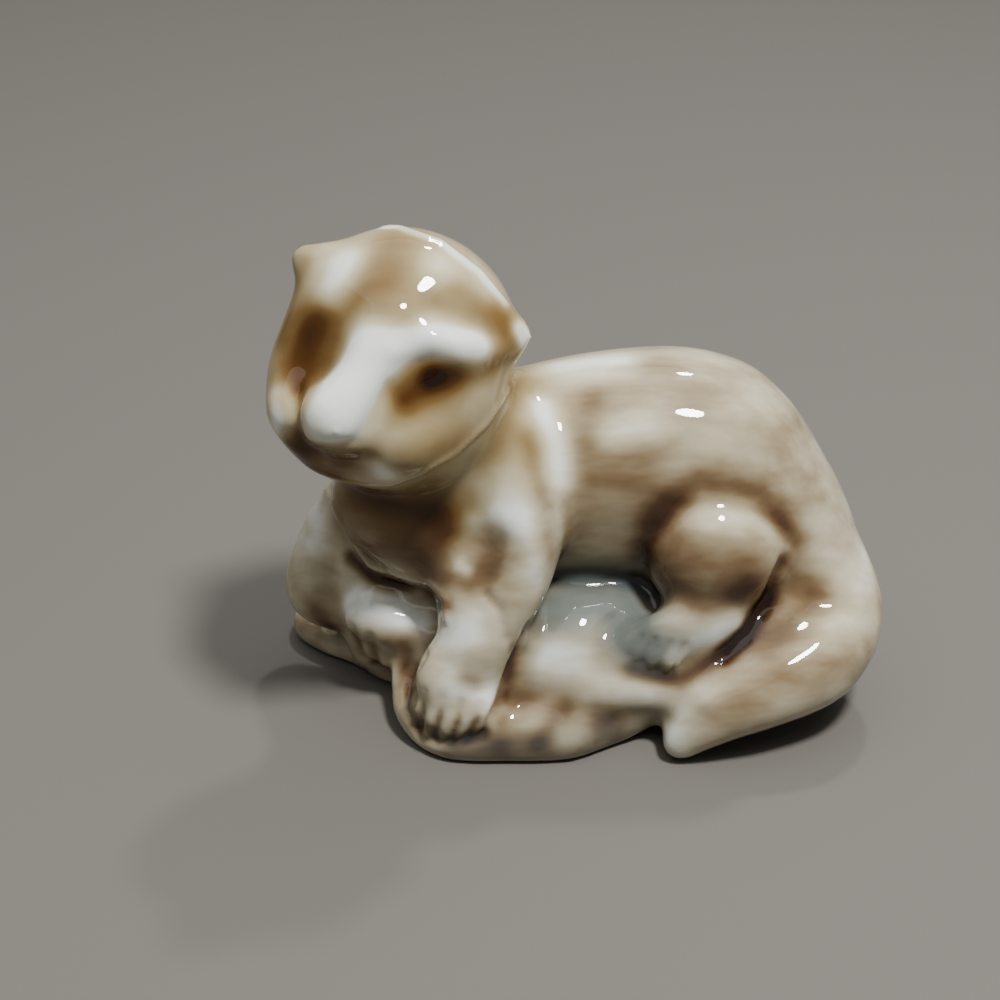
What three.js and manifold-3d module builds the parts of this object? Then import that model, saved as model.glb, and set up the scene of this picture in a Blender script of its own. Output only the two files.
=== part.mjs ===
// Otter figurine: a glazed porcelain miniature of an otter lying on a rock, its head turned to the viewer.
// Otter and rock were pressed and fired as one piece, so the model is one solid.
// Millimetres, +Z up. +X runs along the body from chest to rump, -Y is the side that the face looks to,
// and the origin is on the table, in the middle of the underside.
import * as THREE from 'three';
import { MarchingCubes } from 'three/addons/objects/MarchingCubes.js';
import { mergeVertices } from 'three/addons/utils/BufferGeometryUtils.js';
import Module from 'manifold-3d';

// The sizes over all. The finished form is fitted to the three of them. It was modelled by eye, so every
// place, radius and blend further down is a share of the length, in hundredths.
const LENGTH = 34.7;
const DEPTH = 18.5;
const HEIGHT = 28.1;
const HUNDREDTH = LENGTH / 100;

// The skin is drawn on a grid of cells that reaches past the form on every side.
const CELLS_ALONG = 37;
const CELL = LENGTH / CELLS_ALONG;
const REACH = 0.58 * LENGTH;
const GRID_MIDDLE = new THREE.Vector3(0, 0, 0.4 * LENGTH);
const LEAST_DEPTH = CELL / 50;
const WELD = CELL / 10000;

// How the skin is evened out.
const EVENING_PASSES = 6;
const STEPS_BACK = 2;
const PROBE = CELL / 50;
const FLATTEST_SLOPE = 0.25;

const CLAY = { color: 0xc9bfa9, roughness: 0.1, metalness: 0 };

const point = (x, y, z) => new THREE.Vector3(x, y, z);
const place = (shares) => point(...shares).multiplyScalar(HUNDREDTH);
const turning = (degrees) => new THREE.Quaternion().setFromEuler(
  new THREE.Euler(...degrees.map(THREE.MathUtils.degToRad), 'ZYX'));

// Forms. Each is a function of a point that gives the distance to its surface, negative inside.
// An egg has three half widths and is turned about its centre by x, then y, then z.
function egg(centre, halfWidths, turn = [0, 0, 0]) {
  const middle = place(centre);
  const half = place(halfWidths);
  const least = Math.min(half.x, half.y, half.z);
  const back = turning(turn).invert();
  const local = point(0, 0, 0);
  return (p) => {
    local.subVectors(p, middle).applyQuaternion(back).divide(half);
    const near = local.length();
    const slope = local.divide(half).length();
    return near === 0 ? -least : near * (near - 1) / slope;
  };
}

// A limb runs smoothly through stations given as [x, y, z, radius].
function limb(stations, spans = 5) {
  const centres = stations.map(([x, y, z]) => place([x, y, z]));
  const curve = new THREE.CatmullRomCurve3(centres, false, 'centripetal');
  const count = (stations.length - 1) * spans;
  const path = [];
  for (let i = 0; i <= count; i++) {
    const first = Math.min(Math.floor(i / spans), stations.length - 2);
    const share = THREE.MathUtils.lerp(stations[first][3], stations[first + 1][3], i / spans - first);
    path.push({ at: curve.getPoint(i / count), radius: share * HUNDREDTH });
  }
  const step = point(0, 0, 0);
  const reach = point(0, 0, 0);
  return (p) => {
    let least = Infinity;
    for (let i = 0; i < count; i++) {
      step.subVectors(path[i + 1].at, path[i].at);
      reach.subVectors(p, path[i].at);
      const share = THREE.MathUtils.clamp(reach.dot(step) / step.lengthSq(), 0, 1);
      const radius = THREE.MathUtils.lerp(path[i].radius, path[i + 1].radius, share);
      least = Math.min(least, reach.addScaledVector(step, -share).length() - radius);
    }
    return least;
  };
}

// A form carried to a place and turned there.
function placed(form, to, turn) {
  const middle = place(to);
  const back = turning(turn).invert();
  const local = point(0, 0, 0);
  return (p) => form(local.subVectors(p, middle).applyQuaternion(back));
}

// Modelling steps. Clay is added or cut away, and the edge where it meets is rounded over a blend.
function rounding(d, e, blend) {
  const width = blend * HUNDREDTH;
  return Math.max(width - Math.abs(d - e), 0) ** 2 / (4 * width);
}
const add = (form, blend) => (d, p) => {
  const e = form(p);
  return Math.min(d, e) - rounding(d, e, blend);
};
const cut = (form, blend) => (d, p) => {
  const e = -form(p);
  return Math.max(d, e) + rounding(d, e, blend);
};
const sculpt = (steps) => (p) => steps.reduce((d, step) => step(d, p), LENGTH);

// The head, in its own frame: origin between the ears, -Y out of the face, +X to the near ear.
const HEAD_PLACE = [-25.9, 0, 72];
const HEAD_TURN = [-15, 15, -15];

function headForm() {
  const skull = [
    add(egg([0.6, 3.7, -5.5], [16.4, 13.3, 14.1]), 2.9),
    add(egg([0, 0.3, -11.2], [17.9, 12.4, 19.9]), 2.3),
    add(egg([13, 0.9, -2.6], [5.5, 4.9, 5.2]), 2.3),
    add(egg([-13, 0.9, -2.6], [5.2, 4.9, 5.2]), 2.3),
  ];
  const cheeks = [
    add(egg([11.5, -2, -15], [6.3, 6.6, 8.4]), 2.9),
    add(egg([-11.2, -2.6, -17.3], [6.1, 6.3, 7.8]), 2.9),
  ];
  const muzzle = [
    add(limb([[0, -7.8, -3.5, 5.2], [-0.9, -12.4, -11.8, 4.9], [-2.3, -15.3, -17.9, 5.8]]), 2),
    add(egg([-8.1, -7.8, -21], [6.9, 7.2, 6.1]), 3.5),
    add(egg([5.5, -7.5, -19.9], [7.5, 7.2, 6.3]), 5.2),
    add(egg([1.4, -4, -25.6], [8.1, 6.6, 4.6]), 2.9),
    add(egg([-3.7, -6.9, -24.2], [6.1, 6.9, 5.5]), 3.5),
  ];
  const brow = [
    add(limb([[5.8, -9.8, -3.5, 2.6], [12.7, -8.1, -4.3, 2.3]]), 2.3),
  ];
  const ears = [
    add(egg([17.9, 0.6, -1.2], [2, 2.3, 3.2], [0, -25, 0]), 1.2),
    add(egg([-17.6, 0.3, -0.6], [2.3, 2.3, 3.2], [0, 25, 0]), 1.2),
  ];
  const eyes = [
    cut(egg([9.5, -15.6, -8.1], [4, 2.9, 2.6], [0, 15, 0]), 3.5),
    cut(egg([-9.2, -15.6, -8.6], [3.7, 3.5, 4.9], [0, -15, 0]), 3.5),
  ];
  return sculpt([...skull, ...cheeks, ...muzzle, ...brow, ...ears, ...eyes]);
}

// Trunk, belly and neck.
const trunk = () => [
  add(limb([
    [-21.9, 2.3, 30, 12.1],
    [-8.6, 6.9, 37.2, 16.1],
    [7.2, 9.2, 38.9, 17.3],
    [19.6, 9.5, 38, 17.6],
    [30, 6.6, 28.8, 14.4],
  ]), 2.9),
  add(limb([[-8.6, 1.7, 30, 8.1], [14.4, 1.7, 29.4, 8.1]]), 2.9),
  add(limb([[-15.9, 5.2, 37.5, 13.3], [-23.6, 2.3, 49, 12.7], [-25.9, 2.3, 60.5, 12.7]]), 5.8),
];

// The tail swings round the rump to the front. Clay fills the space between it and the rump.
const tail = () => [
  add(limb([
    [36, 3.5, 21.9, 11.8],
    [41.5, -3.5, 16.1, 8.6],
    [38, -11.5, 12.7, 7.8],
    [29.4, -16.7, 10.4, 6.6],
    [22.2, -19.3, 7.8, 5.2],
    [15.9, -20.7, 3.5, 3.7],
  ]), 3.5),
  add(egg([27.1, 2.9, 20.2], [9.2, 8.6, 8.6]), 2.9),
  add(egg([21.3, -6.9, 12.1], [13.3, 8.1, 9.2]), 2.3),
  add(egg([17.3, -13.3, 7.5], [6.3, 5.2, 4.6]), 2.3),
  add(limb([[15.6, -15.6, 9.8, 3.7], [24.8, -13.3, 13.8, 4.3], [32.9, -8.6, 18.4, 5.2]]), 2.3),
];

// Each hind leg is a round thigh over a flat foot.
const hindLegs = () => [
  add(egg([21.9, 21.3, 24.2], [12.1, 7.5, 11.5], [0, 10, 0]), 1.7),
  add(limb([[21.9, 23.1, 13.3, 4.3], [10.4, 22.5, 10.4, 3.7]]), 1.4),
  add(egg([21, -6.6, 29.4], [10.7, 8.4, 10.7]), 1.2),
  add(egg([25.9, -6.9, 28.8], [7.5, 6.6, 7.5]), 2.3),
  add(egg([14.4, -13.5, 17.9], [9.2, 3.7, 6.1], [20, -20, 0]), 0.9),
  add(egg([20.7, -13, 19.9], [6.3, 3.5, 3.7], [20, -25, 0]), 1.4),
];

// The near foreleg leans forward to a broad paw, and grows out of the chest.
const nearForeleg = () => [
  add(limb([
    [-12.1, -1.7, 46.1, 7.8],
    [-9.2, -7.2, 38.6, 6.9],
    [-9.8, -11.2, 30, 5.8],
    [-13, -14.4, 22.5, 5],
    [-15.9, -15.9, 17.3, 5.2],
  ]), 2.3),
  add(limb([[-17.9, -4.6, 30.5, 7.5], [-16.7, -10.4, 24.8, 6.6], [-17, -13.8, 19, 5.8]]), 2.3),
  add(egg([-18.7, -17, 12.4], [8.1, 4.6, 7.5], [-25, 25, 0]), 1.7),
  add(egg([-28, 0.6, 35.7], [12.1, 9.8, 10.4]), 4),
];

// The far foreleg is bent, and its paw is turned in under the chest.
const farForeleg = () => [
  add(limb([
    [-34.3, 8.6, 32.9, 6.3],
    [-41.2, 9.2, 22.8, 5.5],
    [-44.1, 7.2, 13.5, 5.2],
    [-36.3, 2.6, 12.1, 4.3],
  ]), 2.3),
  add(egg([-32.3, 5.8, 18.4], [9.8, 7.5, 13.3]), 2.3),
  add(egg([-30.5, -2.3, 14.1], [8.6, 5.8, 4.9], [0, 10, 8]), 1.2),
  add(egg([-33.7, -0.3, 8.4], [4.9, 3.5, 5.8], [0, 30, 0]), 1.7),
];

// The rock: a low base, a rim round its chest end, a lobe along the front, and lumps under the otter.
const rock = () => [
  add(limb([
    [-47.3, 17.9, 2, 2.6],
    [-46.7, 13.3, 2.3, 2.9],
    [-42.7, 9.2, 2.6, 2.9],
    [-36.9, 5.5, 2.6, 2.9],
    [-31.7, 1.2, 2.6, 2.9],
  ]), 1.4),
  add(egg([-35.7, 14.1, 1.2], [10.4, 8.6, 3.5]), 2.3),
  add(limb([
    [-27.7, -3.5, 9.8, 2.3],
    [-28.2, -8.4, 5.8, 2.9],
    [-26.5, -13.5, 3.7, 3.7],
    [-20.7, -17.9, 2.6, 5.2],
    [-11.5, -18.2, 2.6, 5.5],
    [-3.5, -17.9, 2.9, 5.5],
    [2.9, -15.3, 2.9, 5.2],
    [10.4, -12.7, 5.2, 4.6],
  ]), 2.3),
  add(egg([-1.7, -6.9, 9.2], [16.1, 11, 9.8]), 2.3),
  add(egg([-18.4, -6.9, 6.9], [9.8, 8.6, 8.6]), 2.3),
  add(limb([[-3.7, -10.7, 12.4, 7.5], [3.5, -11.5, 11, 6.9], [11.2, -14.1, 8.4, 4]]), 2.3),
  add(limb([[-1.7, -5.8, 15.6, 7.2], [7.5, -5.2, 15.6, 6.6]]), 2.3),
  add(limb([[1.7, -15.3, 10.4, 4.3], [8.1, -16.4, 10.1, 3.2], [12.7, -17.3, 9.8, 1.7]]), 1.4),
  cut(limb([[1.2, -22.2, 6.9, 1.2], [8.1, -20.7, 6.3, 1.7], [14.4, -19.6, 6.6, 1.4]]), 1.7),
  add(egg([-24.2, -6.9, 13.3], [3.5, 3.5, 4]), 1.7),
  add(egg([-1.2, -20.2, 2.9], [3.7, 3.2, 2.6]), 1.2),
  add(egg([0, 5.8, 11.5], [39.2, 14.4, 13]), 2.9),
  add(egg([1.4, 7.5, 1.7], [37.5, 17.9, 8.6]), 2.9),
];

const otterOnRock = sculpt([
  ...trunk(),
  ...tail(),
  ...hindLegs(),
  ...nearForeleg(),
  ...farForeleg(),
  ...rock(),
  add(placed(headForm(), HEAD_PLACE, HEAD_TURN), 4),
]);

// Toes: each is a short ridge from its knuckle to its tip.
const TOES = [
  // near forepaw
  { knuckle: [-22.8, -18.2, 12.1], tip: [-25.9, -19.3, 7.2], radius: 1.7 },
  { knuckle: [-21.3, -19.9, 11], tip: [-24.2, -21, 6.1], radius: 1.7 },
  { knuckle: [-19.6, -20.7, 10.4], tip: [-21.6, -22.2, 5.5], radius: 1.7 },
  { knuckle: [-17.6, -21, 10.4], tip: [-19, -22.5, 5.8], radius: 1.7 },
  { knuckle: [-15.6, -19.9, 12.1], tip: [-15.6, -22.2, 6.6], radius: 2.3 },
  // near hind foot
  { knuckle: [9.2, -14.4, 19.9], tip: [6.3, -15.3, 17.3], radius: 1.4 },
  { knuckle: [11, -15.6, 19.3], tip: [8.6, -16.7, 16.1], radius: 1.4 },
  { knuckle: [13, -16.1, 18.7], tip: [11.2, -17.3, 15.3], radius: 1.4 },
  { knuckle: [15.3, -16.4, 18.2], tip: [14.1, -17.6, 14.7], radius: 1.4 },
  // far forepaw
  { knuckle: [-35.2, -2, 11.8], tip: [-36.9, -2.3, 8.6], radius: 1.7 },
  { knuckle: [-33.4, -3.5, 11], tip: [-34.6, -3.7, 7.8], radius: 1.7 },
  { knuckle: [-31.4, -4.6, 10.4], tip: [-32.3, -4.9, 6.9], radius: 1.7 },
];

// The skin of a form: marching cubes over the grid, whose corners are then evened out.
function skin(form) {
  const size = Math.ceil(2 * REACH / CELL);
  const mostTriangles = size ** 3;
  const grid = new MarchingCubes(size, new THREE.Material(), false, false, mostTriangles);
  grid.isolation = 0;
  const along = (i) => (i - grid.halfsize) / grid.halfsize * REACH;
  const p = point(0, 0, 0);
  for (let n = 0; n < size ** 3; n++) {
    p.set(along(n % size), along(Math.floor(n / size) % size), along(Math.floor(n / size ** 2)));
    const depth = -form(p.add(GRID_MIDDLE));
    grid.field[n] = Math.sign(depth || 1) * Math.max(Math.abs(depth), LEAST_DEPTH);
  }
  grid.update();
  const corners = grid.geometry.getAttribute('position').array.slice(0, 3 * grid.geometry.drawRange.count);
  const loose = new THREE.BufferGeometry().setAttribute('position', new THREE.BufferAttribute(corners, 3));
  loose.scale(REACH, REACH, REACH).translate(...GRID_MIDDLE);
  return evened(mergeVertices(loose, WELD), form);
}

// The middle of the corners that each corner shares a triangle with.
function middles(geometry) {
  const position = geometry.getAttribute('position');
  const index = geometry.index.array;
  const sums = Array.from({ length: position.count }, () => point(0, 0, 0));
  const counts = new Array(position.count).fill(0);
  const p = point(0, 0, 0);
  for (let i = 0; i < index.length; i++) {
    const first = i - i % 3;
    for (const step of [1, 2]) {
      sums[index[i]].add(p.fromBufferAttribute(position, index[first + (i + step) % 3]));
      counts[index[i]] += 1;
    }
  }
  return sums.map((sum, v) => sum.divideScalar(counts[v]));
}

// Moves every corner to the middle of its neighbours, then back along the slope onto the form, a few times.
function evened(geometry, form) {
  const position = geometry.getAttribute('position');
  const slope = point(0, 0, 0);
  const probe = point(0, 0, 0);
  for (let pass = 0; pass < EVENING_PASSES; pass++) {
    middles(geometry).forEach((p, v) => {
      for (let step = 0; step < STEPS_BACK; step++) {
        const d = form(p);
        slope.set(
          form(probe.copy(p).setX(p.x + PROBE)) - d,
          form(probe.copy(p).setY(p.y + PROBE)) - d,
          form(probe.copy(p).setZ(p.z + PROBE)) - d).divideScalar(PROBE);
        const move = d / Math.max(slope.lengthSq(), FLATTEST_SLOPE);
        p.addScaledVector(slope, -THREE.MathUtils.clamp(move, -CELL / 2, CELL / 2));
      }
      position.setXYZ(v, ...p);
    });
  }
  return geometry;
}

// Solids, for joining and cutting.
const wasm = await Module();
wasm.setup();
function solid(geometry) {
  const bare = new THREE.BufferGeometry().setAttribute('position', geometry.getAttribute('position'));
  bare.index = geometry.index;
  const merged = mergeVertices(bare, WELD);
  const vertProperties = new Float32Array(merged.getAttribute('position').array);
  const triVerts = new Uint32Array(merged.index.array);
  return new wasm.Manifold(new wasm.Mesh({ numProp: 3, vertProperties, triVerts }));
}
function geometryOf(body) {
  const { vertProperties, triVerts } = body.getMesh();
  const geometry = new THREE.BufferGeometry();
  geometry.setAttribute('position', new THREE.BufferAttribute(vertProperties, 3));
  geometry.setIndex(new THREE.BufferAttribute(triVerts, 1));
  geometry.computeVertexNormals();
  return geometry;
}

// Stretches a form to the sizes over all. It goes on standing on the table.
function fitted(geometry) {
  geometry.computeBoundingBox();
  const size = geometry.boundingBox.getSize(point(0, 0, 0));
  return geometry.scale(LENGTH / size.x, DEPTH / size.y, HEIGHT / size.z);
}

const TOE_SIDES = 8;
const TOE_RINGS = 6;
function toe({ knuckle, tip, radius }) {
  const start = place(knuckle);
  const run = place(tip).sub(start);
  const width = radius * HUNDREDTH;
  const ridge = new THREE.SphereGeometry(1, TOE_SIDES, TOE_RINGS);
  ridge.scale(width, (run.length() + width) / 2, width);
  ridge.applyQuaternion(new THREE.Quaternion().setFromUnitVectors(point(0, 1, 0), run.clone().normalize()));
  return solid(ridge.translate(...start.addScaledVector(run, 0.5)));
}

// The underside is flat: everything below the table is cut away.
const table = new THREE.BoxGeometry(3 * LENGTH, 3 * LENGTH, LENGTH).translate(0, 0, -LENGTH / 2);
const clay = TOES.reduce((joined, each) => joined.add(toe(each)), solid(skin(otterOnRock)));
const body = fitted(geometryOf(clay.subtract(solid(table))));
const figure = new THREE.Mesh(body, new THREE.MeshStandardMaterial(CLAY));
figure.name = 'otter_on_rock';
const figurine = new THREE.Group();
figurine.add(figure);
export default figurine;
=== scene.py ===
"""Otter figurine: a glazed porcelain miniature of an otter on a rock, made as one piece."""

import math

import bmesh
import bpy
import numpy as np
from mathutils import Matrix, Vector
from mathutils.bvhtree import BVHTree


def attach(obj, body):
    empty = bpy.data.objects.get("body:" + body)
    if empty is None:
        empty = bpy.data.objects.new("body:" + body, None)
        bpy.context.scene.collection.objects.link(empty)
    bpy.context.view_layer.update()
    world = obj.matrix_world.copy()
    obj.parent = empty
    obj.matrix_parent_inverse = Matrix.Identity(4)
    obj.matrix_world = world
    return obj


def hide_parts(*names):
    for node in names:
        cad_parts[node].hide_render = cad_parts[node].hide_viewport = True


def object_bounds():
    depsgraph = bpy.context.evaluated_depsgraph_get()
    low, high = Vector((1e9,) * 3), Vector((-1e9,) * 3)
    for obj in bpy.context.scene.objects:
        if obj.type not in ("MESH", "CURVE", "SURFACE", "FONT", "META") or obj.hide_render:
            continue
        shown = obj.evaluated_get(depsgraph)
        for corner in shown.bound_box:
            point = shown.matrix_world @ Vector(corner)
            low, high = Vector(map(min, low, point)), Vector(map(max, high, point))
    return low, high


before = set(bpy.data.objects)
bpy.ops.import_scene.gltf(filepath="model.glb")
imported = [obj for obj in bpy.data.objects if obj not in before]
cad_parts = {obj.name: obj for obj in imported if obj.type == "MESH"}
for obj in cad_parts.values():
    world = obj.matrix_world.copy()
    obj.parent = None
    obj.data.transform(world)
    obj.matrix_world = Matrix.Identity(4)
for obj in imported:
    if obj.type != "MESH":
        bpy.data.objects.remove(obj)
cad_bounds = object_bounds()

# The camera. It stands where the photograph was taken from, a hand's breadth in front of the figurine, and
# looks down at it by thirty degrees. Its lengths are in millimetres. Marks on the figurine are given further
# down as places in the picture that it takes, in pixels from the top left corner.
MM = 0.001
PICTURE = 1000
LOOK_DOWN = math.radians(30)
FOCAL_PIXELS = 1860
SENSOR = 36
NEAREST_SEEN = 5
CAMERA_PLACE = Vector((-4.44, -89.94, 64.22)) * MM

lens = bpy.data.cameras.new("camera")
lens.sensor_fit = "HORIZONTAL"
lens.sensor_width = SENSOR
lens.lens = SENSOR * FOCAL_PIXELS / PICTURE
lens.clip_start = NEAREST_SEEN * MM
camera = bpy.data.objects.new("camera", lens)
camera.location = CAMERA_PLACE
camera.rotation_euler = (math.pi / 2 - LOOK_DOWN, 0, 0)
bpy.context.scene.collection.objects.link(camera)
bpy.context.scene.camera = camera


def sight(u, v):
    """The direction in which the camera sees a pixel of the picture."""
    right = Vector((1, 0, 0))
    up = Vector((0, math.sin(LOOK_DOWN), math.cos(LOOK_DOWN)))
    ahead = Vector((0, math.cos(LOOK_DOWN), -math.sin(LOOK_DOWN)))
    half = PICTURE / 2
    return (ahead + right * ((u - half) / FOCAL_PIXELS) + up * ((half - v) / FOCAL_PIXELS)).normalized()


# The clay body. Otter and rock were pressed together in one two-part mould, dried and fired, so they are
# one mesh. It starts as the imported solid, is remade in small even faces, and is rubbed down as a potter's
# sponge does, which takes the facets off.
FACE = 0.205
SAME_POINT = 0.001
SPONGE_RUBS = 14


def neighbours(mesh):
    """The two ends of every edge, and how many edges meet at every point."""
    ends = np.empty(2 * len(mesh.edges), dtype=np.int64)
    mesh.edges.foreach_get("vertices", ends)
    ends = ends.reshape(-1, 2)
    return ends[:, 0], ends[:, 1], np.bincount(ends.ravel(), minlength=len(mesh.vertices))


def rubbed(places, net, times):
    """Moves every point halfway to the middle of its neighbours, a number of times."""
    first, second, count = net
    for _ in range(times):
        middle = np.stack([
            np.bincount(first, places[second, axis], len(places))
            + np.bincount(second, places[first, axis], len(places))
            for axis in range(3)
        ], axis=1) / count[:, None]
        places = (places + middle) / 2
    return places


def read_places(mesh):
    """Where every point of a mesh is, in millimetres."""
    places = np.empty(3 * len(mesh.vertices))
    mesh.vertices.foreach_get("co", places)
    return places.reshape(-1, 3) / MM


def write_places(mesh, places):
    """Puts every point of a mesh at a place in millimetres."""
    mesh.vertices.foreach_set("co", (places * MM).ravel())
    mesh.update()


clay = bmesh.new()
clay.from_mesh(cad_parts["otter_on_rock"].data)
bmesh.ops.remove_doubles(clay, verts=clay.verts, dist=SAME_POINT * MM)
rough = bpy.data.meshes.new("rough")
clay.to_mesh(rough)
clay.free()
otter = bpy.data.objects.new("otter", rough)
bpy.context.scene.collection.objects.link(otter)
remesh = otter.modifiers.new("remesh", "REMESH")
remesh.mode = "VOXEL"
remesh.voxel_size = FACE * MM
fine = bpy.data.meshes.new_from_object(otter.evaluated_get(bpy.context.evaluated_depsgraph_get()))
otter.modifiers.clear()
otter.data = fine
fine.name = "otter"
bpy.data.meshes.remove(rough)

net = neighbours(fine)
write_places(fine, rubbed(read_places(fine), net, SPONGE_RUBS))

# The modelling that the mould left on the clay: toes, creases and the low forms of the face. Where the
# mould's two halves met there is a thin raised seam. Each mark has a width and a height in millimetres,
# below 0 for a groove, and then the pixels that each of its lines runs through.
PIXELS_A_STEP = 2
SETTLING_RUBS = 1
SEAM_OVER_HEAD = [(300, 246), (325, 233), (360, 228), (400, 227), (440, 241), (480, 272), (505, 302)]
MOULDED = {
    "near forepaw, between the toes": (
        0.26, -0.12,
        [(424, 692), (420, 726)],
        [(442, 698), (434, 736)],
        [(461, 702), (450, 742)],
        [(482, 706), (466, 740)],
    ),
    "near forepaw, deeper at the toe ends": (
        0.22, -0.12,
        [(422, 712), (419, 728)],
        [(438, 720), (433, 737)],
        [(456, 726), (449, 743)],
        [(474, 724), (464, 741)],
    ),
    "near forepaw, left edge": (
        0.30, -0.24,
        [(424, 655), (410, 680), (406, 705), (420, 738), (450, 744), (482, 738)],
    ),
    "near forepaw, right edge": (0.30, -0.30, [(528, 626), (511, 662), (500, 700), (484, 735)]),
    "hollow of the elbow": (0.9, -0.22, [(500, 546), (492, 568), (468, 584)]),
    "edge of the near arm": (0.7, 0.12, [(474, 522), (502, 516), (528, 534), (537, 566)]),
    "dome on the rock": (1.7, 0.34, [(586, 622)]),
    "lump behind that dome": (0.8, 0.1, [(610, 604)]),
    "wrist crease": (0.28, -0.16, [(486, 594), (500, 612), (506, 640)]),
    "near hind foot, between the toes": (
        0.2, -0.14,
        [(640, 636), (628, 656)],
        [(655, 640), (641, 664)],
        [(670, 643), (656, 671)],
        [(684, 645), (672, 673)],
    ),
    "far forepaw, between the toes": (
        0.3, -0.18,
        [(352, 628), (362, 656)],
        [(369, 636), (377, 664)],
    ),
    "crease between thigh and tail": (0.5, -0.35, [(724, 656), (748, 632), (768, 598), (784, 562)]),
    "seam over the head": (0.17, 0.16, SEAM_OVER_HEAD + [(520, 325)]),
    "seam down the near cheek": (
        0.17, 0.14,
        [(518, 372), (505, 396), (487, 424), (455, 454), (420, 474), (388, 485)],
    ),
    "seam down the chest": (
        0.18, 0.2,
        [(326, 490), (344, 527), (370, 566), (403, 576), (430, 583), (445, 600), (447, 620)],
    ),
    "groove under the chest seam": (0.3, -0.2, [(350, 555), (378, 582), (420, 590), (438, 604)]),
    "near eyeball": (0.45, 0.16, [(428, 378), (434, 375)]),
    "near brow": (0.6, 0.2, [(395, 352), (430, 342), (470, 347), (500, 352)]),
    "hollow of the far eye": (1.2, -0.16, [(314, 320), (306, 346), (298, 372)]),
    "far side of the muzzle": (0.5, -0.3, [(296, 388), (294, 412), (296, 434)]),
    "near side of the muzzle": (0.6, -0.2, [(358, 442), (374, 414), (388, 388)]),
    "mouth": (0.5, -0.16, [(290, 438), (314, 450), (342, 446)]),
}


def skin(mesh):
    """The surface of a mesh as it stands, for lines of sight to meet."""
    return BVHTree.FromPolygons([v.co for v in mesh.vertices], [p.vertices for p in mesh.polygons])


def read_normals(mesh):
    """The way that every point of a mesh faces."""
    normals = np.empty(3 * len(mesh.vertices))
    mesh.vertex_normals.foreach_get("vector", normals)
    return normals.reshape(-1, 3)


def seen(u, v):
    """The point of the figurine, in millimetres, that the camera sees at a pixel, or nothing."""
    hit = surface.ray_cast(CAMERA_PLACE, sight(u, v))[0]
    return None if hit is None else np.array(hit) / MM


def trail(pixels):
    """Points on the figurine, a step apart, under a line drawn through pixels of the picture."""
    points = []
    for (u0, v0), (u1, v1) in zip(pixels, pixels[1:] or pixels):
        steps = max(1, int(math.hypot(u1 - u0, v1 - v0) / PIXELS_A_STEP))
        points += [seen(u0 + (u1 - u0) * s / steps, v0 + (v1 - v0) * s / steps) for s in range(steps + 1)]
    return [p for p in points if p is not None]


def distance(places, points):
    """How far every place is from the nearest of some points."""
    nearest = np.full(len(places), np.inf)
    for p in points:
        nearest = np.minimum(nearest, ((places - p) ** 2).sum(axis=1))
    return np.sqrt(nearest)


def stroke(places, pixels, width):
    """1 along a line drawn on the figurine, fading to 0 over a width in millimetres."""
    return np.exp(-(distance(places, trail(pixels)) / width) ** 2)


surface = skin(fine)
places = read_places(fine)
normals = read_normals(fine)
for width, height, *lines in MOULDED.values():
    for pixels in lines:
        places += normals * (height * stroke(places, pixels, width))[:, None]
low_corner, high_corner = np.array(cad_bounds) / MM
write_places(fine, np.clip(rubbed(places, net, SETTLING_RUBS), low_corner, high_corner))

# The glaze as it was poured. Coloured by a little iron, it runs off the high places, where the white clay
# shows, and pools in the hollows, where it turns honey brown and then dark. The mesh keeps its thickness,
# from
# 0 for bare white to 1 for the darkest pool, for the material to read, with painted shade and light added
# below.
EVEN_COAT = 0.385
# How many rubs fill the small hollows and the large ones, and what a millimetre of their depth adds.
POOLS = ((30, 0.8), (220, 0.4))
MOST_RUN_OFF = -0.08
MOST_POOLED = 0.36


def hollow(mesh, places, times):
    """How deep every point lies in a hollow, in millimetres: below 0 it stands proud."""
    return ((rubbed(places, net, times) - places) * read_normals(mesh)).sum(axis=1)


surface = skin(fine)
places = read_places(fine)
pooled = sum(share * hollow(fine, places, times) for times, share in POOLS)
glaze_and_shading = EVEN_COAT + np.clip(pooled, MOST_RUN_OFF, MOST_POOLED)
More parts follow.
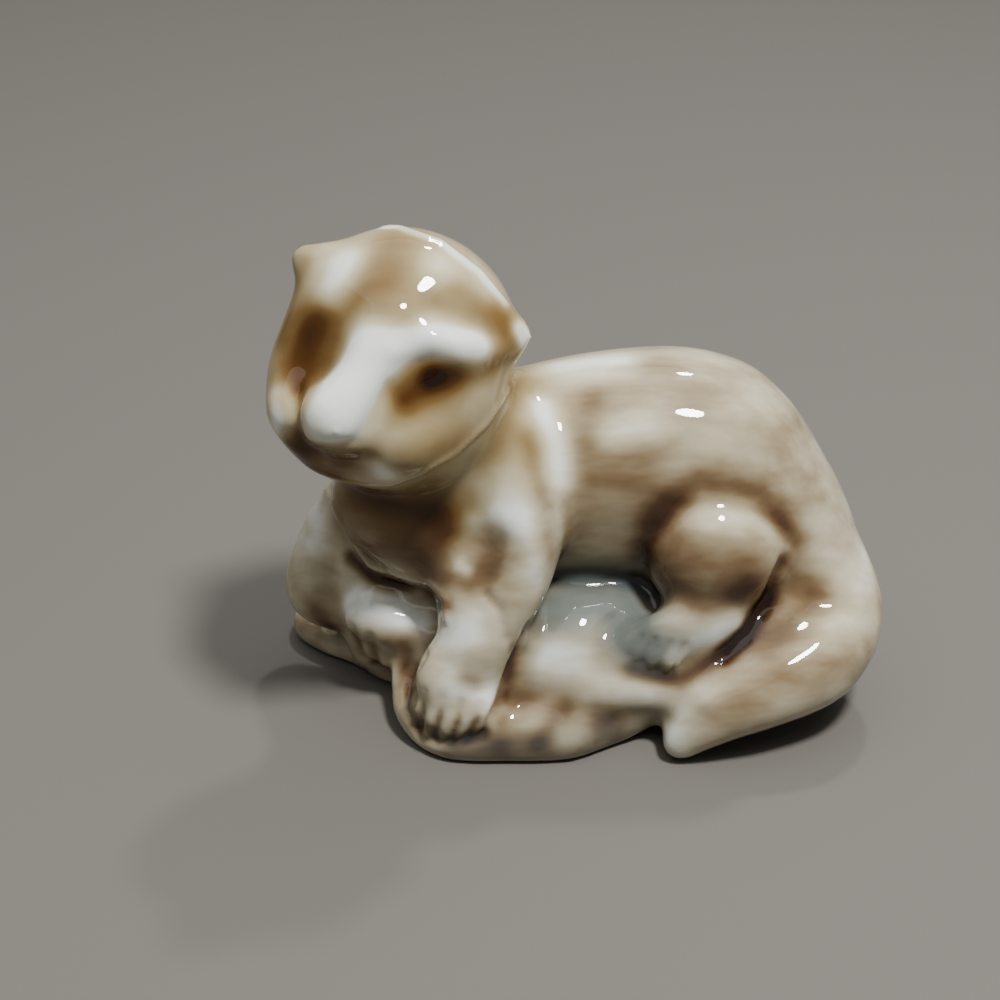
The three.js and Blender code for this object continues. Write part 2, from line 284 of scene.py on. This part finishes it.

# The head's glaze. A brush took some of it off the bridge of the nose, the brow and the chin while it was
# wet, and laid more in the eyes and the mouth; round the mouth, under the overhanging muzzle, that brown is
# also painted shade. Each mark has a width in millimetres, the thickness that it adds, below 0 where it is
# wiped away, and then the pixels that each of its lines runs through.
HEAD_GLAZE_AND_SHADE = {
    "near pupil": (0.55, 0.6, [(430, 377), (434, 375)]),
    "under the near eye": (1.0, 0.25, [(406, 398), (426, 388), (452, 376)]),
    "behind the near eye": (0.8, 0.2, [(450, 374), (490, 366), (515, 350)]),
    "far eye": (1.8, 0.42, [(316, 316), (304, 345), (290, 376)]),
    "far brow": (1.0, 0.1, [(322, 316), (314, 332)]),
    # Brown glaze and painted shade: the mouth lies in the shadowed recess under the muzzle.
    "under the lower lip": (0.8, 0.36, [(290, 446), (308, 464), (334, 476)]),
    "mouth": (0.9, 0.4, [(306, 446), (340, 460)]),
    "corner of the mouth": (0.7, 0.3, [(334, 450), (368, 456)]),
    "jaw": (1.1, 0.18, [(405, 464), (430, 456), (460, 438)]),
    "middle of the forehead": (2.2, 0.22, [(400, 244), (388, 262), (374, 300)]),
    "forehead over the near eye": (1.3, 0.14, [(424, 312), (386, 320)]),
    "far edge of the forehead": (0.8, 0.16, [(306, 256), (298, 280), (280, 340)]),
    "in front of the near ear": (1.3, 0.36, [(464, 290), (480, 306), (502, 322)]),
    "near ear": (0.5, -0.6, [(521, 330), (528, 345)]),
    "seam over the head": (0.3, -0.3, SEAM_OVER_HEAD),
    "bridge of the nose": (1.6, -0.6, [(370, 346), (350, 388), (330, 424)]),
    "far half of the forehead": (1.2, -0.42, [(346, 262), (328, 292)]),
    "near brow": (1.0, -0.5, [(394, 350), (430, 336), (478, 346)]),
    "crown": (1.2, -0.24, [(440, 268), (480, 290)]),
    "chin": (0.8, -0.3, [(376, 464), (384, 474)]),
    "far cheek": (0.8, -0.34, [(276, 394), (276, 428)]),
}


def brushed(marks):
    """The thickness, at every point, that a table of brush marks adds to the glaze level; some marks are
    painted shade or painted light.
    """
    added = np.zeros(len(places))
    for width, amount, *lines in marks.values():
        for pixels in lines:
            added += amount * stroke(places, pixels, width)
    return added


glaze_and_shading += brushed(HEAD_GLAZE_AND_SHADE)

# The glaze on the chest, the arms and the forepaws. It is thick under the throat and in the creases, where
# it ran together, and thin on the shoulders and on the backs of the wrists, where it ran off. The near
# shoulder is painted lighter still, as painted light where the head shades it, and the hollow under the
# far wrist is painted shade.
FRONT_GLAZE_AND_SHADING = {
    "throat": (2.0, 0.26, [(345, 500), (380, 508), (410, 520)]),
    "side of the chest": (0.9, 0.24, [(440, 516), (446, 530)]),
    "foot of the chest": (1.5, 0.2, [(370, 550), (400, 556), (436, 566)]),
    "groove under the chest seam": (0.45, 0.4, [(350, 560), (372, 576), (400, 582), (430, 590), (446, 606)]),
    "far shoulder": (1.0, -0.2, [(318, 520), (322, 545)]),
    "far arm": (1.4, -0.12, [(310, 560), (340, 580)]),
    # Thin glaze and painted light: lighter where the head shades the near arm.
    "thin glaze and light, near shoulder": (1.3, -0.22, [(462, 474), (494, 496), (522, 520)]),
    "edge of the near arm": (0.9, -0.18, [(478, 522), (512, 526), (534, 556), (536, 590)]),
    "hollow of the elbow": (1.2, 0.2, [(500, 550), (490, 570), (462, 586)]),
    "fleck in that hollow": (0.4, -0.3, [(460, 566), (466, 570)]),
    "far wrist": (1.2, -0.5, [(360, 600), (395, 606), (424, 612)]),
    # Painted shade in the hollow under the far wrist.
    "shade under the far wrist": (0.8, 0.3, [(315, 612), (330, 626)]),
    "far forepaw": (0.7, 0.2, [(290, 622), (330, 628)]),
    "far forepaw, between the toes": (
        0.4, 0.14,
        [(355, 632), (362, 652)],
        [(370, 640), (376, 662)],
    ),
    "between the forepaws": (0.6, 0.2, [(388, 642), (412, 640)]),
    "back of the near forepaw": (1.5, -0.24, [(462, 630), (450, 650), (455, 690), (485, 700)]),
    "spot on that paw": (0.5, 0.26, [(466, 678), (474, 682)]),
    "right edge of that paw": (0.4, 0.3, [(514, 646), (510, 668), (506, 696)]),
    "under its toes": (0.5, 0.34, [(420, 722), (434, 734), (456, 742), (478, 732)]),
    "between its toes": (
        0.22, 0.26,
        [(424, 704), (420, 726)],
        [(441, 712), (435, 736)],
        [(459, 718), (451, 742)],
        [(478, 718), (466, 740)],
    ),
}
glaze_and_shading += brushed(FRONT_GLAZE_AND_SHADING)

# The glaze on the back, the thigh, the hind foot and the tail. Pale patches lie on the back and behind the
# neck. Brown runs rim the thigh, and dark ones lie where thigh and tail meet. The dark band under the belly
# is painted shadow; the foot of the thigh and the underside of the tail are painted shade, and the middle of
# the thigh is darker glaze and painted shade.
BACK_GLAZE_AND_SHADE = {
    "streak behind the neck": (0.85, -0.42, [(541, 406), (556, 438), (565, 480)]),
    "beside that streak": (1.0, 0.2, [(592, 400), (590, 440)]),
    "patch on the side of the back": (1.0, -0.22, [(604, 434), (645, 426)]),
    "top of the back": (1.3, -0.3, [(560, 366), (620, 360)]),
    "top of the rump": (2.0, 0.16, [(650, 378), (720, 400), (770, 450)]),
    "flank": (1.8, 0.24, [(590, 480), (640, 460)]),
    "behind the shoulder": (0.7, 0.2, [(528, 440), (543, 500), (550, 550)]),
    # Painted shadow: the dark band where the belly shades the rock beneath it.
    "shadow under the belly": (0.6, 0.5, [(562, 578), (612, 575), (650, 592)]),
    "rim of the thigh": (0.9, 0.26, [(646, 560), (655, 512), (700, 478), (760, 492), (796, 540)]),
    "top of the thigh": (1.3, -0.1, [(700, 515), (760, 530)]),
    # Darker glaze and painted shade on the rounded front of the thigh.
    "glaze and shade, middle of the thigh": (2.0, 0.26, [(680, 556), (750, 560)]),
    # Painted shade on the lower part of the thigh, which faces away from the lamps.
    "shade at the foot of the thigh": (1.2, 0.34, [(665, 580), (705, 604), (745, 590)]),
    "top of the hind foot": (0.9, -0.26, [(630, 650), (680, 650), (735, 625)]),
    "under the hind foot": (0.6, 0.34, [(633, 668), (680, 682), (717, 656), (740, 640)]),
    "crease between thigh and tail": (0.6, 0.34, [(724, 656), (748, 632), (768, 598), (784, 564)]),
    "tip of the tail": (1.4, -0.26, [(700, 690), (668, 735)]),
    "bend of the tail": (1.0, -0.14, [(862, 545), (868, 590)]),
    # Painted shade along the underside of the tail.
    "shade under the tail": (1.4, 0.22, [(845, 655), (795, 668), (745, 698), (705, 712)]),
    "inside of the tail": (1.2, 0.2, [(815, 590), (770, 650)]),
}
glaze_and_shading += brushed(BACK_GLAZE_AND_SHADE)

# The glaze on the rock, and the stain on it: a blue-grey metal oxide, brushed on under the clear glaze over
# the dome, where it also touched the hind foot. Round the foot of the rock, in the gap between the rock and
# the tail and low on the tip of the tail, the same grey with more glaze is painted shade. The stain and
# shade run from 0 for none to 1 for all that the clay takes.
ROCK_GLAZE_AND_SHADE = {
    "middle of the rock": (1.4, -0.2, [(550, 660), (600, 680), (645, 692)]),
    # These two are painted shade along the foot of the rock, which lies in shadow.
    "shade along the foot of the rock": (1.1, 0.3, [(500, 740), (550, 748), (610, 728)]),
    "shade along the foot of the rock, on the left": (0.7, 0.2, [(450, 752), (500, 752)]),
    "rock to the left of the near forepaw": (0.5, -0.1, [(394, 660), (392, 690)]),
    "rock along that paw": (0.5, 0.2, [(407, 668), (404, 705), (425, 740)]),
    "run down the rock": (0.6, 0.26, [(566, 710), (552, 722), (538, 744)]),
    "fleck at the foot": (0.7, -0.2, [(565, 740), (585, 732)]),
}
ROCK_STAIN_AND_SHADE = {
    "dome on the rock": (2.2, 1.1, [(560, 608), (590, 600), (620, 604), (632, 625)]),
    "hind foot": (1.2, 0.32, [(650, 652), (700, 640), (732, 622)]),
    # Painted shade: the stain's grey darkens the shaded foot of the rock.
    "shade along the foot of the rock": (1.4, 0.4, [(450, 752), (520, 752), (600, 735)]),
    # Stain by the hind foot; painted shade in the gap between the rock and the tail and low on the tail's
    # tip.
    "stain by the hind foot, shade by the tip of the tail": (
        1.2, 0.3,
        [(630, 640), (650, 655)],
        [(620, 742), (650, 712)],
        [(668, 735), (690, 712)],
    ),
}
glaze_and_shading += brushed(ROCK_GLAZE_AND_SHADE)
stain_and_shade = brushed(ROCK_STAIN_AND_SHADE)

# The combing. On the body the wet glaze was drawn out along the otter in short streaks, like wet fur. On
# the head it was left nearly as it flowed. The mesh keeps how strongly it is combed, from 0 to 1, which
# changes over from the head's share to the body's near the edge of a ball round the head, in millimetres.
HEAD_MIDDLE = (-9.5, -1.5, 20.5)
HEAD_RADIUS = 8.0
HEAD_FADE = 2.0
HEAD_COMBED = 0.3

beyond_head = np.sqrt(((places - HEAD_MIDDLE) ** 2).sum(axis=1)) - HEAD_RADIUS
combed = HEAD_COMBED + (1 - HEAD_COMBED) * np.clip(beyond_head / HEAD_FADE, 0, 1)
for name, values in (("glaze_and_shading", glaze_and_shading), ("stain_and_shade", stain_and_shade), ("combed", combed)):
    fine.attributes.new(name, "FLOAT", "POINT").data.foreach_set("value", np.clip(values, 0, 1))

# Glazed porcelain. White clay was fired under a clear glaze about a third of a millimetre thick. To the eye
# that is a hard wet gloss, which mirrors the lamps, over soft colours that drift with the glaze's thickness;
# the same level and the stain's grey also carry the painted shade and painted light set down above.
# The streaks are drawn coarser than on the real figurine, so that they show.
GLAZE_COLOURS = [
    (0.00, "#DFE3DA"),
    (0.20, "#BEB59C"),
    (0.42, "#948669"),
    (0.60, "#6F5A3E"),
    (0.78, "#4A3320"),
    (1.00, "#21120B"),
]
STAIN_AND_SHADE_COLOUR = "#4E5A59"
STAIN_COVER = 0.85
STREAK_LENGTH = 5.263
STREAK_WIDTH = 1.923
STREAK_DRIFT = 0.55
CLOUD_WIDTH = 5.263
CLOUD_DRIFT = 0.35
UNCOMBED_COLOURFULNESS = 1.26
GREYED_BY_COMBING = 0.3


def linear(code):
    """A colour given as an sRGB hex value, as Blender's own linear values."""
    parts = [int(code[i:i + 2], 16) / 255 for i in (1, 3, 5)]
    return [c / 12.92 if c <= 0.04045 else ((c + 0.055) / 1.055) ** 2.4 for c in parts] + [1]


def node(material, kind, settings=None, **links):
    """Adds a node with its settings, and sets its inputs to other nodes' outputs or to plain values.

    An input is given by its name, or by _ and its number where the node has several of one name."""
    made = material.node_tree.nodes.new(kind)
    for name, value in (settings or {}).items():
        setattr(made, name, value)
    for name, value in links.items():
        place = made.inputs[int(name[1:])] if name[0] == "_" else made.inputs[name.replace("_", " ")]
        if isinstance(value, bpy.types.NodeSocket):
            material.node_tree.links.new(value, place)
        else:
            place.default_value = value
    return made


porcelain = bpy.data.materials.new("glazed_porcelain")
porcelain.use_nodes = True
porcelain.node_tree.nodes.clear()
where = node(porcelain, "ShaderNodeTexCoord").outputs["Object"]
glaze_and_shading_level, stain_and_shade_amount, combing = (
    node(porcelain, "ShaderNodeAttribute", {"attribute_name": name}).outputs["Fac"]
    for name in ("glaze_and_shading", "stain_and_shade", "combed")
)
along = node(porcelain, "ShaderNodeMapping", _0=where,
             Scale=(1 / (STREAK_LENGTH * MM), 1 / (STREAK_WIDTH * MM), 1 / (STREAK_WIDTH * MM)))
streaks = node(porcelain, "ShaderNodeTexNoise", Vector=along.outputs[0],
               Scale=1.0, Detail=3.0, Roughness=0.55)
clouds = node(porcelain, "ShaderNodeTexNoise", Vector=where, Scale=1 / (CLOUD_WIDTH * MM), Detail=2.0)
streak, cloud = (
    node(porcelain, "ShaderNodeMath", {"operation": "MULTIPLY_ADD"},
         _0=noise.outputs["Fac"], _1=drift, _2=-drift / 2)
    for noise, drift in ((streaks, STREAK_DRIFT), (clouds, CLOUD_DRIFT))
)
drawn_out = node(porcelain, "ShaderNodeMath", {"operation": "MULTIPLY_ADD"},
                 _0=streak.outputs[0], _1=combing, _2=glaze_and_shading_level)
level = node(porcelain, "ShaderNodeMath", {"operation": "ADD"}, _0=drawn_out.outputs[0], _1=cloud.outputs[0])
ramp = node(porcelain, "ShaderNodeValToRGB", _0=level.outputs[0])
while len(ramp.color_ramp.elements) < len(GLAZE_COLOURS):
    ramp.color_ramp.elements.new(0.5)
for element, (position, code) in zip(ramp.color_ramp.elements, GLAZE_COLOURS):
    element.position = position
    element.color = linear(code)
colourfulness = node(porcelain, "ShaderNodeMath", {"operation": "MULTIPLY_ADD"},
                     _0=combing, _1=-GREYED_BY_COMBING, _2=UNCOMBED_COLOURFULNESS)
toned = node(porcelain, "ShaderNodeHueSaturation", Saturation=colourfulness.outputs[0],
             Color=ramp.outputs["Color"])
cover = node(porcelain, "ShaderNodeMath", {"operation": "MULTIPLY"}, _0=stain_and_shade_amount, _1=STAIN_COVER)
tinted = node(porcelain, "ShaderNodeMix", {"data_type": "RGBA"},
              _0=cover.outputs[0], _6=toned.outputs[0], _7=linear(STAIN_AND_SHADE_COLOUR))
shader = node(porcelain, "ShaderNodeBsdfPrincipled", Base_Color=tinted.outputs[2],
              Roughness=0.3, Specular_IOR_Level=0.0, Coat_Weight=1.0, Coat_IOR=1.42, Coat_Roughness=0.03)
node(porcelain, "ShaderNodeOutputMaterial", Surface=shader.outputs[0])

fine.materials.clear()
fine.materials.append(porcelain)
fine.polygons.foreach_set("use_smooth", np.ones(len(fine.polygons), dtype=bool))
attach(otter, "root")
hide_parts("otter_on_rock")

# The table: one plain sheet of matt paper, three metres wide, so that its edge stays out of the picture from
# the camera's place. It is a warm mid-grey, which gives the eye a quiet ground and hardly any reflection.
FLOOR_HALF = 1.5
PAPER_COLOUR = "#5E5A54"

sheet = bmesh.new()
bmesh.ops.create_grid(sheet, x_segments=1, y_segments=1, size=FLOOR_HALF)
floor_mesh = bpy.data.meshes.new("floor")
sheet.to_mesh(floor_mesh)
sheet.free()
floor = bpy.data.objects.new("floor", floor_mesh)
bpy.context.scene.collection.objects.link(floor)
paper = bpy.data.materials.new("matt_grey_paper")
paper.use_nodes = True
paper.node_tree.nodes["Principled BSDF"].inputs["Base Color"].default_value = linear(PAPER_COLOUR)
paper.node_tree.nodes["Principled BSDF"].inputs["Roughness"].default_value = 0.8
floor_mesh.materials.append(paper)

# The studio lights: a small round lamp high in front, whose reflection is the bright spot on every rounded
# top, a weaker one behind, and a wide soft ceiling, in a pale room. Each of them has a place and a width in
# millimetres and a power in watts.
LAMPS = {
    "lamp": ((62, -76, 253), 42, 1.1),
    "second lamp": ((60, 160, 260), 26, 0.34),
    "ceiling": ((-60, 20, 520), 900, 2.5),
}
LAMPS_AIM_AT = Vector((0, 0, 12))
ROOM_COLOUR = "#E4E6E8"
ROOM_STRENGTH = 0.22

for name, (place, width, power) in LAMPS.items():
    light = bpy.data.lights.new(name, "AREA")
    light.shape = "DISK"
    light.size = width * MM
    light.energy = power
    lamp = bpy.data.objects.new(name, light)
    lamp.location = Vector(place) * MM
    lamp.rotation_euler = (LAMPS_AIM_AT - Vector(place)).to_track_quat("-Z", "Y").to_euler()
    bpy.context.scene.collection.objects.link(lamp)

world = bpy.data.worlds.new("studio")
world.use_nodes = True
world.node_tree.nodes["Background"].inputs["Color"].default_value = linear(ROOM_COLOUR)
world.node_tree.nodes["Background"].inputs["Strength"].default_value = ROOM_STRENGTH
bpy.context.scene.world = world
